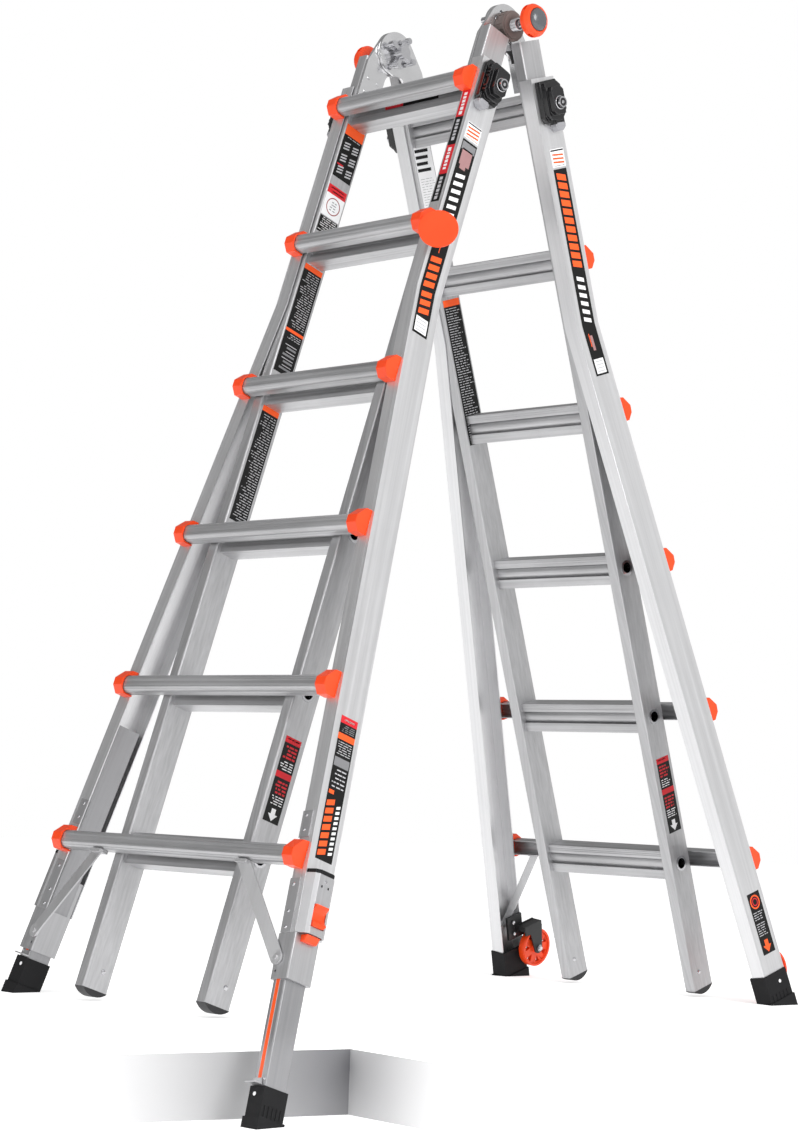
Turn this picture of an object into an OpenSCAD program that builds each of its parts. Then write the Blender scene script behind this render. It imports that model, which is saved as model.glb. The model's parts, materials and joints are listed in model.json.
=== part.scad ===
// Multi position ladder, standing as a twin stepladder with one leveler leg let down.
// The right side of each section is modelled, and the left side is its mirror image.
// Inside a section, x runs across the ladder, y outwards from the fold plane towards the
// climbing face, and z up along the rails from the hinge axis, so heights are negative.

/* [Stance] */
// Half of the angle between the two sections
lean = 18.18; // [12:0.01:24]
// How far the lower foot stands below the other three
step_h = 154; // [60:1:180]
// Height of the hinge axis above the three upper feet
hinge_above_floor = 1857; // [1840:1:1870]
// Sideways shift that centres the bounding box on the origin
centre_x = -9.02; // [-40:0.01:40]
// Fore and aft shift that centres the bounding box on the origin
centre_y = 8.65; // [-60:0.01:60]

/* [Rungs] */
// Distance from one rung to the next
rung_pitch = 304.8; // [304:0.1:306]
// Distance from the hinge axis to the first rung
first_rung = 159.5; // [158:0.1:162]
// Rungs in each section
rung_count = 6; // [6:6]
// Height of an outer rung
outer_rung_h = 32; // [28:0.5:34]
// Wall of an outer rung
outer_rung_wall = 1.8; // [1.4:0.1:3]
// Height of an inner rung
inner_rung_h = 58; // [50:1:60]
// Depth of an inner rung
inner_rung_d = 36; // [33:1:44]
// Wall of an inner rung
inner_rung_wall = 1.5; // [1.2:0.1:2.5]

/* [Rails] */
// Distance from the middle to an inner rail's inner face
inner_x = 158; // [158:0.5:159]
// Width of an inner rail
inner_w = 25; // [24:0.5:25]
// Depth of an inner rail
inner_d = 57; // [55:0.5:58]
// Wall of an inner rail
inner_wall = 2; // [1.5:0.1:3]
// Distance from the middle to an outer rail's web at the top
web_x = 197; // [196:0.5:199]
// Depth of an outer rail over its flanges
outer_d = 64.5; // [64:0.1:65]
// Width of an outer rail's flange
flange_w = 31; // [30:0.5:32]
// Wall of an outer rail
outer_wall = 2.5; // [2:0.1:3]
// Angle at which the outer rails splay below the bend
flare = 7.613; // [6:0.001:8]
// Distance from the hinge axis to the bend
bend_s = 588; // [580:1:610]

/* [Locks and hinge] */
// Radius of the steel bushing's bore
bushing_r = 10.5; // [10.2:0.1:11]
// Radius of a lock plunger
plunger_r = 9.5; // [8:0.1:9.8]
// Radius of a hinge plate's round head
head_r = 45; // [42:0.5:46]
// Radius of a hinge shaft
shaft_r = 8; // [6:0.1:9]
// Radius of a palm knob
knob_r = 31.5; // [28:0.5:34]

/* [Feet and wheels] */
// Radius of a tip wheel
wheel_r = 41; // [38:0.5:42]
// Width of a tip wheel
wheel_w = 17; // [14:0.5:17]
// Radius of a wheel axle
axle_r = 4; // [3:0.1:5]
// Clearance around a shaft that turns or slides
fit = 0.05; // [0.02:0.01:0.1]

/* [Hidden] */
$fn = 64;

left = -1;
right = 1;
sides = [left, right];
big = 400;
orange = [1, 0.29, 0.06];
alloy = [0.74, 0.75, 0.76];
dark = [0.12, 0.12, 0.13];

// Height of the hinge axis above the lowest foot.
hinge_h = hinge_above_floor + step_h;
// How far the lowered leg slides out along the splayed rail.
leg_drop = step_h / (cos(flare) * cos(lean));
rungs = [for (i = [0 : rung_count - 1]) first_rung + i * rung_pitch];
// Faces of an inner rail and of an outer rail, measured out from the fold plane.
inner_y0 = 3.5;
inner_y1 = inner_y0 + inner_d;
bore_y = inner_y0 + inner_d / 2;
outer_y0 = 0.5;
outer_y1 = outer_y0 + outer_d;
inner_top = 33;
inner_bottom = 1945;
outer_top = 106;
rear_rail_u = 1363.6;
front_rail_u = 1233.6;
strip_u = 1019.6;
seat = 0.2;

// Places: at_hinge carries the whole ladder, and a section leans out from the hinge axis.
module at_hinge() translate([centre_x, centre_y, hinge_h]) children();
module rear_section() at_hinge() rotate([lean, 0, 0]) children();
module front_section() at_hinge() rotate([-lean, 0, 0]) mirror([0, 1, 0]) children();
module on_side(s) mirror([s < 0 ? 1 : 0, 0, 0]) children();
// The splayed part's own frame: x is 0 at the web's outer face and z is 0 at the bend.
module splayed() translate([web_x, 0, -bend_s]) rotate([0, -flare, 0]) children();

// Extrusions: an outline of x and y along z, of x and z along y, and of y and z along x.
module along_z(z0, z1) translate([0, 0, z0]) linear_extrude(z1 - z0) children();
module along_y(y0, y1) translate([0, y1, 0]) rotate([90, 0, 0]) linear_extrude(y1 - y0) children();
module along_x(x0, x1) translate([x0, 0, 0]) rotate([90, 0, 90]) linear_extrude(x1 - x0) children();
module block(x0, x1, y0, y1, z0, z1) translate([x0, y0, z0]) cube([x1 - x0, y1 - y0, z1 - z0]);
module rod_x(x0, x1, y, z, r) translate([x0, y, z]) rotate([0, 90, 0]) cylinder(h = x1 - x0, r = r);
module tube_x(x0, x1, y, z, r_out, r_in) {
    translate([x0, y, z]) rotate([0, 90, 0]) linear_extrude(x1 - x0) difference() {
        circle(r_out);
        circle(r_in);
    }
}
module rod_y(y0, y1, x, z, r) translate([x, y1, z]) rotate([90, 0, 0]) cylinder(h = y1 - y0, r = r);
// Rectangle with round corners, given by its edges.
module round_box(x0, x1, y0, y1, r) {
    translate([x0 + r, y0]) square([x1 - x0 - 2 * r, y1 - y0]);
    translate([x0, y0 + r]) square([x1 - x0, y1 - y0 - 2 * r]);
    for (x = [x0 + r, x1 - r], y = [y0 + r, y1 - r]) translate([x, y]) circle(r, $fn = 24);
}
// Flat bar from point a to point b, w wide and t thick, turned by roll about its length.
module bar(a, b, w, t, roll) {
    d = b - a;
    translate(a) rotate([0, acos(d[2] / norm(d)), atan2(d[1], d[0])]) rotate([0, 0, roll])
        translate([-t / 2, -w / 2, 0]) cube([t, w, norm(d)]);
}

// Everything below the ground that a foot stands on, for cutting its sole flat.
module below(ground) translate([-2 * big, -3 * big, ground - big]) cube([4 * big, 6 * big, big]);

// ---- rails ----
module inner_rail_shape(s) {
    on_side(s) difference() {
        along_z(-inner_bottom, -inner_top) difference() {
            round_box(inner_x, inner_x + inner_w, inner_y0, inner_y1, 3);
            round_box(inner_x + inner_wall, inner_x + inner_w - inner_wall,
                inner_y0 + inner_wall, inner_y1 - inner_wall, 1.5);
        }
        for (z = rungs) rod_x(inner_x - 1, inner_x + inner_w + 1, bore_y, -z, bushing_r + 2 + fit);
    }
}

// Strip of the outer rail's side view, from depth a to depth b in from the web's outer face.
module splay_strip(a, b, bottom) {
    turn = tan(flare / 2);
    function edge(d) = [[web_x - d, -outer_top], [web_x - d, -bend_s - d * turn],
        [web_x + bottom * sin(flare) - d * cos(flare), -bend_s - bottom * cos(flare) - d * sin(flare)]];
    e0 = edge(a);
    e1 = edge(b);
    polygon([e0[0], e0[1], e0[2], e1[2], e1[1], e1[0]]);
}

module outer_rail_shape(s, bottom) {
    on_side(s) difference() {
        union() {
            along_y(outer_y0, outer_y1) splay_strip(0, outer_wall, bottom);
            along_y(outer_y0, outer_y0 + outer_wall) splay_strip(0, flange_w, bottom);
            along_y(outer_y1 - outer_wall, outer_y1) splay_strip(0, flange_w, bottom);
        }
        along_y(outer_y1 - 0.5, outer_y1 + 1) splay_strip(3, 4, bottom + 9);
        along_y(outer_y1 - 0.5, outer_y1 + 1) splay_strip(6, 7, bottom + 9);
        rod_x(web_x - 9, web_x + 9, bore_y, -first_rung, plunger_r + fit);
    }
}

module rail_plug_shape(s) {
    sag = 12;
    r = (inner_d * inner_d / 4 + sag * sag) / (2 * sag);
    on_side(s) union() {
        along_x(inner_x, inner_x + inner_w) intersection() {
            translate([bore_y, -inner_bottom - sag + r]) circle(r);
            translate([inner_y0 - 1, -inner_bottom - sag]) square([inner_d + 2, sag]);
        }
        along_z(-inner_bottom - 1, -inner_bottom + 18)
            round_box(inner_x + inner_wall + seat, inner_x + inner_w - inner_wall - seat,
                inner_y0 + inner_wall + seat, inner_y1 - inner_wall - seat, 1.5);
    }
}

// ---- rungs ----
// Ridged box above and below a round tube, with the tube's bore open for the lock bushings.
module inner_rung_outline() {
    h = inner_rung_h / 2;
    d = inner_rung_d / 2;
    w = inner_rung_wall;
    tube = bushing_r + 2 + fit;
    difference() {
        union() {
            difference() {
                union() {
                    translate([bore_y - d, 13]) square([2 * d, h - 13]);
                    translate([bore_y - d, -h]) square([2 * d, h - 11]);
                    for (z = [h - 4, h - 8, h - 12], y = [-d - 0.8, d])
                        translate([bore_y + y, z]) square([0.8, 1.6]);
                }
                translate([bore_y - d + w, 13 + w]) square([2 * d - 2 * w, h - 13 - 2 * w]);
                translate([bore_y - d + w, -h + w]) square([2 * d - 2 * w, h - 11 - 2 * w]);
            }
            translate([bore_y, 0]) circle(tube + 2.4);
        }
        translate([bore_y, 0]) circle(tube);
    }
}
module inner_rungs_shape() {
    for (z = rungs) translate([0, 0, -z]) along_x(-inner_x, inner_x) inner_rung_outline();
}

// Round-nosed tube that lies on the outer rails' climbing faces.
nose_depth = 26;
nose_r = 12;
module bullnose(grow) {
    h = outer_rung_h / 2 + grow;
    r = nose_r + grow;
    y0 = outer_y1 + seat;
    y1 = y0 + nose_depth - nose_r;
    translate([y0, -h]) square([y1 - y0, 2 * h]);
    translate([y0, r - h]) square([y1 - y0 + r, 2 * (h - r)]);
    for (z = [r - h, h - r]) translate([y1, z]) circle(r);
}
// Distance from the middle to the web's outer face at height z.
function web_at(z) = z < bend_s ? web_x : web_x + (z - bend_s) * tan(flare);
module outer_rungs_shape() {
    for (z = rungs) translate([0, 0, -z]) along_x(-web_at(z) + 11, web_at(z) - 11) difference() {
        union() {
            bullnose(0);
            for (a = [0, 20, 45, 70], k = [-1, 1])
                translate([outer_y1 + seat + nose_depth - nose_r, k * (outer_rung_h / 2 - nose_r)])
                    rotate(k * a) translate([nose_r - 0.2, -0.5]) square([0.8, 1]);
        }
        bullnose(-outer_rung_wall);
    }
}

// Orange cap over a rung's end, seated on the rail's flange.
module cap_outline() {
    y0 = outer_y1 + seat;
    polygon([[y0, 28], [y0 + 13.5, 27], [y0 + 31, 8], [y0 + 31, -6], [y0 + 20, -20], [y0, -20]]);
}
module rung_caps_shape() {
    for (s = sides, z = rungs) on_side(s) translate([0, 0, -z]) difference() {
        along_x(web_at(z) - flange_w - 2, web_at(z) - 8) cap_outline();
        along_x(web_at(z) - flange_w - 3, web_at(z) - 10.5) bullnose(1.1);
    }
}

module bushings_shape() {
    for (s = sides, z = rungs) on_side(s) {
        tube_x(inner_x - 27, inner_x + inner_w + 1.6, bore_y, -z, bushing_r + 2, bushing_r);
        tube_x(inner_x + inner_w + seat / 4, inner_x + inner_w + 1.6, bore_y, -z,
            bushing_r + 4.5, bushing_r);
    }
}

// Round tag on the right end of the second front rung, turned half way to the side.
module rung_tag_shape() {
    translate([web_x + 20.3, outer_y1 + 5.1, -rungs[1] - 18.3]) rotate([0, 0, -43])
        rod_y(0, 3, 0, 0, 37);
}

// ---- hinge ----
// Layers across the hinge: the rear head runs inside the front head.
front_leaf = [inner_x - 6.7, inner_x];
rear_leaf = [inner_x - 14, inner_x - 7.3];
leg_end = 126;
pin_ring = 30;
pin_r = 4;
// Round head that runs straight into the leg in front and with a hollow curve behind.
module leaf_outline() {
    y1 = inner_y1 - 1;
    top = 44;
    reach = norm([y1, top]);
    a = atan2(top, y1) - acos(head_r / reach);
    hollow = 20;
    c_z = sqrt(pow(head_r + hollow, 2) - pow(5 - hollow, 2));
    circle(head_r);
    polygon([[0, 0], [head_r * cos(a), -head_r * sin(a)], [y1, -top],
        [y1, -leg_end], [5, -leg_end], [5, -20]]);
    difference() {
        polygon([[0, 0], [5 - hollow, -c_z], [5, -c_z], [5, 0]]);
        translate([5 - hollow, -c_z]) circle(hollow);
    }
}
module pin_holes(turn) {
    for (i = [0 : 3]) rotate(turn + 90 * i + 45) translate([pin_ring, 0]) circle(pin_r + fit);
}
module front_hinge_plate(s) {
    on_side(s) difference() {
        along_x(front_leaf[0], front_leaf[1]) difference() {
            leaf_outline();
            circle(shaft_r + fit);
            pin_holes(-2 * lean);
            pin_holes(0);
        }
    }
    on_side(s) for (z = [78, 108], y = [18, 44]) rod_x(front_leaf[0] - 1.5, front_leaf[0] + 1, y, -z, 4);
}
module rear_hinge_plate(s) {
    clear = 70;
    on_side(s) {
        along_x(rear_leaf[0], rear_leaf[1]) difference() {
            leaf_outline();
            circle(shaft_r + fit);
            pin_holes(0);
        }
        along_x(rear_leaf[0], inner_x) polygon([[5, -clear], [inner_y1 - 1, -clear],
            [inner_y1 - 1, -leg_end], [5, -leg_end]]);
        for (z = [82, 108], y = [18, 44]) rod_x(rear_leaf[0] - 1.5, rear_leaf[0] + 1, y, -z, 4);
    }
}
hub = [inner_x + seat / 4, inner_x + 20];
module hinge_hub_shape(s) {
    on_side(s) rotate([0, 90, 0]) translate([0, 0, hub[0]]) difference() {
        cylinder(h = hub[1] - hub[0], r = 29);
        translate([0, 0, -1]) cylinder(h = 40, r = shaft_r + fit);
        for (a = [30 : 60 : 330]) rotate(a) translate([22, 0, 14]) cylinder(h = 9, r = 3);
        for (a = [0 : 60 : 300]) rotate(a) translate([29.5, -2, 8]) cube([4, 4, 20]);
    }
}
// Wound sleeve of touching coils around the shaft, pressed short.
module coil_sleeve(x0, coils, wire, r) {
    rotate([0, 90, 0]) translate([0, 0, x0]) rotate_extrude() {
        for (i = [0 : coils - 1]) translate([r, wire * (i + 0.5)]) circle(wire * 0.56, $fn = 24);
    }
}
knob = [213, 246];
module hinge_spring_shape(s) on_side(s) coil_sleeve(hub[1] + 0.9, 6, 2.6, shaft_r + 3);
// Palm knob: a dished orange shell with three windows, open outwards around the grey dome.
module hinge_knob_shape(s) {
    on_side(s) rotate([0, 90, 0]) difference() {
        rotate_extrude() polygon([
            [shaft_r + fit, knob[0]], [14, knob[0]], [knob_r - 6, knob[0] + 7], [knob_r, knob[0] + 13],
            [knob_r, knob[0] + 22], [knob_r - 4, knob[1] - 4], [knob_r - 7, knob[1] - 1],
            [knob_r - 9, knob[1] - 2], [knob_r - 9, knob[0] + 16], [knob_r - 12, knob[0] + 12],
            [shaft_r + fit, knob[0] + 8]
        ]);
        for (a = [90, 210, 330]) rotate(a) translate([knob_r - 11, -7, knob[0] + 13]) cube([20, 14, 9]);
    }
}
// Shaft with a domed head in the knob, and a four-armed spider with the lock pins inside.
spider = [inner_x - 39, inner_x - 21];
module hinge_plunger_shape(s) {
    on_side(s) {
        rod_x(spider[0], knob[0] + 10, 0, 0, shaft_r);
        rod_x(spider[0], spider[1], 0, 0, 13);
        for (i = [0 : 3]) rotate([45 + 90 * i, 0, 0]) {
            block(spider[0] + 6, spider[1], 8, pin_ring, -4.5, 4.5);
            rod_x(spider[0] + 3, front_leaf[0] - 0.8, pin_ring, 0, pin_r);
            rod_x(spider[0] + 4, spider[1], pin_ring, 0, 6.5);
        }
        rotate([0, 90, 0]) rotate_extrude() polygon([[0, knob[0] + 9], [17, knob[0] + 15],
            [knob_r - 10, knob[0] + 19], [knob_r - 10, knob[1] - 3], [17, knob[1] + 2],
            [10, knob[1] + 4.5], [0, knob[1] + 5.5]]);
    }
}

// ---- rung locks ----
lock_x = [web_x + seat / 4, web_x + 34];
collar_x = 216;
// Chamfered black casing on the web, bored for the plunger, its collar and its spring.
module lock_housing_shape(s) {
    on_side(s) difference() {
        union() {
            along_x(lock_x[0], lock_x[0] + 12) polygon([[9, -114], [55, -112], [61, -120],
                [61, -192], [54, -197], [14, -195], [8, -184], [8, -122]]);
            along_x(lock_x[0] + 11, lock_x[0] + 22) polygon([[12, -119], [48, -117], [56, -124],
                [56, -182], [46, -192], [18, -190], [11, -180], [11, -126]]);
            along_x(lock_x[0] + 21, lock_x[1]) polygon([[17, -128], [40, -126], [49, -134],
                [49, -172], [42, -182], [22, -181], [15, -174], [15, -134]]);
            along_x(lock_x[0], lock_x[0] + 15) polygon([[32, -186], [58, -186], [58, -204],
                [50, -211], [38, -211], [32, -204]]);
        }
        rod_x(web_x - 1, web_x + 5, bore_y, -first_rung, plunger_r + fit);
        rod_x(web_x + 4, collar_x + 7, bore_y, -first_rung, 13);
        rod_x(web_x, collar_x + 12, bore_y, -first_rung, 6 + fit);
        rod_x(collar_x + 10, web_x + 50, bore_y, -first_rung, 11);
    }
}
module lock_plunger_shape(s) {
    on_side(s) {
        rod_x(inner_x + inner_w + 2.8, collar_x, bore_y, -first_rung, plunger_r);
        rod_x(collar_x, collar_x + 3, bore_y, -first_rung, 12.5);
        rod_x(collar_x + 3, collar_x + 22, bore_y, -first_rung, 6);
        rod_x(collar_x + 20, collar_x + 22.5, bore_y, -first_rung, 10.5);
        tube_x(collar_x + 22, collar_x + 24, bore_y, -first_rung, 10.5, 8);
        rod_x(collar_x + 22, collar_x + 23.4, bore_y, -first_rung, 5);
    }
}
module lock_springs_shape() {
    for (s = sides) on_side(s) translate([0, bore_y, -first_rung])
        coil_sleeve(collar_x + 3.2, 3, 1.2, 9.5);
}

// ---- levelers, in the splayed frame of the front rails ----
casing_u = [1129.6, 1233.4];
collar_end_u = 1312.6;
button_u = [1182.6, 1220.6];
leg_x = [-33, -4];
leg_y = [13, 62];
leg_u = [869.6, 1363.6];
boot_u = 1327.6;
module leveler_housing_shape(s) {
    shell = [[seat / 4, 64], [17, 58.5], [22, 52], [22, 20], [15, 11], [seat / 4, 9]];
    hollow = [[-1, 60], [15.5, 55], [19, 50.5], [19, 21], [13.5, 14], [-1, 12.5]];
    on_side(s) splayed() {
        difference() {
            along_z(-casing_u[1], -casing_u[0]) polygon(shell);
            along_z(-casing_u[1] - 1, -casing_u[0] - 3) polygon(hollow);
            block(12, 30, 21.5, 52, -button_u[1] - 0.5, -button_u[0] + 0.5);
        }
        // Doubler on the flange, in two lengths above and below the last rung's cap.
        for (u = [[strip_u, 1067.6], [1138.6, front_rail_u]])
            block(-flange_w - 2, -9, outer_y1 + seat / 4, outer_y1 + 1.6, -u[1], -u[0]);
    }
}
module ratchet_button_shape(s) {
    on_side(s) splayed() difference() {
        along_x(9, 27) polygon([[22, -button_u[0]], [51.5, -button_u[0]], [51.5, -button_u[1]],
            [27, -button_u[1]], [22, -button_u[1] + 5]]);
        rod_y(20, 60, 37, -button_u[0] - 17, 17);
    }
}
module leveler_collar_shape(s) {
    on_side(s) splayed() {
        difference() {
            along_z(-collar_end_u, -front_rail_u - seat) difference() {
                round_box(-38, 3, 8, 65.4, 3);
                translate([leg_x[0] - 0.4, leg_y[0] - 0.4])
                    square([leg_x[1] - leg_x[0] + 0.8, leg_y[1] - leg_y[0] + 0.8]);
            }
            rod_y(60, 70, -28.5, -collar_end_u + 14, 2.4);
        }
        block(-29, -5, outer_y0 + outer_wall + seat, leg_y[0] - 0.8, -front_rail_u - 4, -front_rail_u + 66);
        block(-29, -5, 8, leg_y[0] - 0.5, -front_rail_u - 8, -front_rail_u);
    }
}
module leveler_leg_shape(s, drop) {
    on_side(s) splayed() translate([0, 0, -drop]) along_z(-leg_u[1], -leg_u[0]) difference() {
        round_box(leg_x[0], leg_x[1], leg_y[0], leg_y[1], 3);
        round_box(leg_x[0] + 2.5, leg_x[1] - 2.5, leg_y[0] + 2.5, leg_y[1] - 2.5, 1.5);
    }
}
// Rubber boot around a leg: straight sides, a wider lip, and a sole that rocks front to back.
module boot_shape(x0, x1, y0, y1, top, bottom, leg, leg_end_u) {
    difference() {
        union() {
            along_x(x0, x1) boot_outline(y0, y1, top, bottom);
            along_x(x0 - 2.5, x1 + 2.5) intersection() {
                boot_outline(y0 - 2.5, y1 + 2.5, top, bottom);
                translate([-big, -bottom - 20]) square([2 * big, 40]);
            }
        }
        along_z(-leg_end_u - seat, -top + 1) translate([leg[0] - seat / 2, leg[2] - seat / 2])
            square([leg[1] - leg[0] + seat, leg[3] - leg[2] + seat]);
    }
}
module boot_outline(y0, y1, top, bottom) {
    r = 95;
    intersection() {
        translate([y0, -bottom - 30]) square([y1 - y0, bottom - top + 30]);
        translate([(y0 + y1) / 2 + 6, -bottom + r - 12]) circle(r);
        translate([(y0 + y1) / 2 - 12, -top - 90]) circle(100);
    }
}
module leveler_boot_shape(s, drop) {
    difference() {
        front_section() on_side(s) splayed() translate([0, 0, -drop])
            boot_shape(-35.5, -1.5, 10.5, 65, boot_u, boot_u + 70, concat(leg_x, leg_y), leg_u[1]);
        below(step_h - drop * cos(flare) * cos(lean));
    }
}
// Small foot plate on the leg above the boot.
module leveler_pedal_shape(s, drop) {
    on_side(s) splayed() translate([0, 0, -drop]) {
        block(-33, -12, leg_y[1] + seat / 4, leg_y[1] + 2, -boot_u + 1, -boot_u + 13);
        block(-35, -10, leg_y[1] + 1, leg_y[1] + 17, -boot_u + 2, -boot_u + 4.5);
    }
}
// Flat stays from a clip under the lowest rung out to the rails: in front they end on the
// flange, behind they end on a lug inside the web.
under_rung = -rungs[5] - outer_rung_h / 2 - 0.3;
module above_clip() block(150, 320, 60, 110, under_rung, under_rung + 40);
module front_braces_shape() {
    foot = [338, 68.6, -1857];
    for (s = sides) on_side(s) {
        difference() {
            bar([197, 83.2, under_rung + 6], foot, 25, 3, 90);
            above_clip();
        }
        rod_y(66, 70.3, foot[0], foot[2], 12.5);
        rod_y(65.7, 73, foot[0], foot[2], 4.5);
        block(189, 218, 71, 91, under_rung - 6, under_rung);
    }
}
module rear_braces_shape() {
    for (s = sides) on_side(s) {
        difference() {
            bar([267, 87, under_rung + 7], [354, 34, -1849], 16, 3, 75);
            above_clip();
        }
        block(258, 286, 76, 94, under_rung - 5, under_rung);
        rod_x(353.5, 361.2, 35, -1848, 7.5);
    }
}

// ---- rear feet and wheels, in the splayed frame of the rear rails ----
wheel_c = [-50, 80, -1330];
module rear_boots_shape() {
    difference() {
        rear_section() for (s = sides) on_side(s) splayed()
            boot_shape(-35.5, 2, -1.5, 67, rear_rail_u - 42, rear_rail_u + 32,
                [-flange_w, 0, outer_y0, outer_y1], rear_rail_u);
        below(step_h);
    }
}
module wheel_brackets_shape() {
    for (s = sides) on_side(s) splayed() difference() {
        union() {
            block(-37.5, -flange_w - 0.2, 18, 62, -1297.6, -1247.6);
            block(-40.5, -37.3, 40, 94, -1295.6, -1269.6);
            block(-62.5, -37.5, 44, 96, -1283, -1271.6);
            for (x = [-62.5, -40.5]) along_x(x, x + 3) {
                polygon([[44, -1273.6], [90, -1273.6], [97, -1281], [91, -1334], [69, -1334],
                    [60, -1293], [44, -1291.6]]);
                translate([wheel_c[1], wheel_c[2]]) circle(12);
            }
            for (z = [-1260.6, -1285.6]) rod_x(-39.5, -37, 33, z, 5);
        }
        rod_x(-70, -30, wheel_c[1], wheel_c[2], axle_r + fit);
    }
}
module wheel_axles_shape() {
    for (s = sides) on_side(s) splayed() {
        rod_x(-65, -37, wheel_c[1], wheel_c[2], axle_r);
        rod_x(-66.5, -62.7, wheel_c[1], wheel_c[2], 7);
        rod_x(-37.3, -36.3, wheel_c[1], wheel_c[2], 5.5);
    }
}
module wheel_shape(s) {
    on_side(s) splayed() translate([wheel_c[0] - wheel_w / 2, wheel_c[1], wheel_c[2]]) rotate([0, 90, 0])
        difference() {
            cylinder(h = wheel_w, r = wheel_r);
            translate([0, 0, -1]) cylinder(h = wheel_w + 2, r = axle_r + fit);
            for (z = [-1, wheel_w - 4]) translate([0, 0, z]) difference() {
                cylinder(h = 5, r = wheel_r - 5);
                translate([0, 0, -1]) cylinder(h = 9, r = 11);
            }
            for (i = [0 : 6]) rotate(i * 360 / 7) translate([0, 0, -1])
                linear_extrude(wheel_w + 2)
                    polygon([[wheel_r - 23, 0], [wheel_r - 8, -6.5], [wheel_r - 8, 6.5]]);
        }
}

// ---- nodes ----
module front(tint) color(tint) front_section() children();
module rear(tint) color(tint) rear_section() children();

front(alloy) inner_rail_shape(left);  // front_inner_rail_left
front(alloy) inner_rail_shape(right);  // front_inner_rail_right
rear(alloy) inner_rail_shape(left);  // rear_inner_rail_left
rear(alloy) inner_rail_shape(right);  // rear_inner_rail_right
front(alloy) outer_rail_shape(left, front_rail_u);  // front_outer_rail_left
front(alloy) outer_rail_shape(right, front_rail_u);  // front_outer_rail_right
rear(alloy) outer_rail_shape(left, rear_rail_u);  // rear_outer_rail_left
rear(alloy) outer_rail_shape(right, rear_rail_u);  // rear_outer_rail_right
front(alloy) inner_rungs_shape();  // front_inner_rungs
rear(alloy) inner_rungs_shape();  // rear_inner_rungs
front(alloy) outer_rungs_shape();  // front_outer_rungs
rear(alloy) outer_rungs_shape();  // rear_outer_rungs
front(orange) rung_caps_shape();  // front_rung_caps
rear(orange) rung_caps_shape();  // rear_rung_caps
front("silver") bushings_shape();  // front_rung_bushings
rear("silver") bushings_shape();  // rear_rung_bushings
front(dark) for (s = sides) rail_plug_shape(s);  // front_rail_plugs
rear(dark) for (s = sides) rail_plug_shape(s);  // rear_rail_plugs
front("white") front_hinge_plate(left);  // front_hinge_plate_left
front("white") front_hinge_plate(right);  // front_hinge_plate_right
rear("white") rear_hinge_plate(left);  // rear_hinge_plate_left
rear("white") rear_hinge_plate(right);  // rear_hinge_plate_right
front("rosybrown") hinge_hub_shape(left);  // hinge_hub_left
front("rosybrown") hinge_hub_shape(right);  // hinge_hub_right
front("gray") hinge_spring_shape(left);  // hinge_spring_left
front("gray") hinge_spring_shape(right);  // hinge_spring_right
rear(orange) hinge_knob_shape(left);  // hinge_knob_left
rear(orange) hinge_knob_shape(right);  // hinge_knob_right
rear("slategray") hinge_plunger_shape(left);  // hinge_plunger_left
rear("slategray") hinge_plunger_shape(right);  // hinge_plunger_right
front(dark) lock_housing_shape(left);  // front_lock_housing_left
front(dark) lock_housing_shape(right);  // front_lock_housing_right
rear(dark) lock_housing_shape(left);  // rear_lock_housing_left
rear(dark) lock_housing_shape(right);  // rear_lock_housing_right
front("silver") lock_plunger_shape(left);  // front_lock_plunger_left
front("silver") lock_plunger_shape(right);  // front_lock_plunger_right
rear("silver") lock_plunger_shape(left);  // rear_lock_plunger_left
rear("silver") lock_plunger_shape(right);  // rear_lock_plunger_right
front("gray") lock_springs_shape();  // front_lock_springs
rear("gray") lock_springs_shape();  // rear_lock_springs
front("silver") leveler_housing_shape(left);  // leveler_housing_left
front("silver") leveler_housing_shape(right);  // leveler_housing_right
front("silver") leveler_collar_shape(left);  // leveler_collar_left
front("silver") leveler_collar_shape(right);  // leveler_collar_right
front(alloy) leveler_leg_shape(left, 0);  // leveler_leg_left
front(alloy) leveler_leg_shape(right, leg_drop);  // leveler_leg_right
color(dark) leveler_boot_shape(left, 0);  // leveler_boot_left
color(dark) leveler_boot_shape(right, leg_drop);  // leveler_boot_right
front("gray") leveler_pedal_shape(left, 0);  // leveler_pedal_left
front("gray") leveler_pedal_shape(right, leg_drop);  // leveler_pedal_right
front(orange) ratchet_button_shape(left);  // ratchet_button_left
front(orange) ratchet_button_shape(right);  // ratchet_button_right
front("silver") front_braces_shape();  // front_braces
rear("silver") rear_braces_shape();  // rear_braces
color(dark) rear_boots_shape();  // rear_boots
rear(dark) wheel_brackets_shape();  // wheel_brackets
rear(orange) wheel_shape(left);  // wheel_left
rear(orange) wheel_shape(right);  // wheel_right
rear("silver") wheel_axles_shape();  // wheel_axles
front(orange) rung_tag_shape();  // rung_tag
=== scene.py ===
import json
import math
import random

import bmesh
import bpy
from mathutils import Matrix, Vector


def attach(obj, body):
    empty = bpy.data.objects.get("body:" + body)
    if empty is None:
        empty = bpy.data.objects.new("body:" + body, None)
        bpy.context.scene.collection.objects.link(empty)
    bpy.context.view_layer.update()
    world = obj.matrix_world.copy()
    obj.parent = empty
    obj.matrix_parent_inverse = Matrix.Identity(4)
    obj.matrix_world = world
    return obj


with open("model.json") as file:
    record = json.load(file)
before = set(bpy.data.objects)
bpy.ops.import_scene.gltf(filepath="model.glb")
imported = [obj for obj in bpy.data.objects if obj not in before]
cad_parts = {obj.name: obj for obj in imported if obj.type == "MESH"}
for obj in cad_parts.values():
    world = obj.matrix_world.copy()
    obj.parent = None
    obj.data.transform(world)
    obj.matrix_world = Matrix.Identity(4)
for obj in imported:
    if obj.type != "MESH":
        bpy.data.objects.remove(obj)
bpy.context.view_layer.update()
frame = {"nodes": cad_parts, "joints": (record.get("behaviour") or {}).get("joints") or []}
NODES = frame["nodes"]
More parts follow.
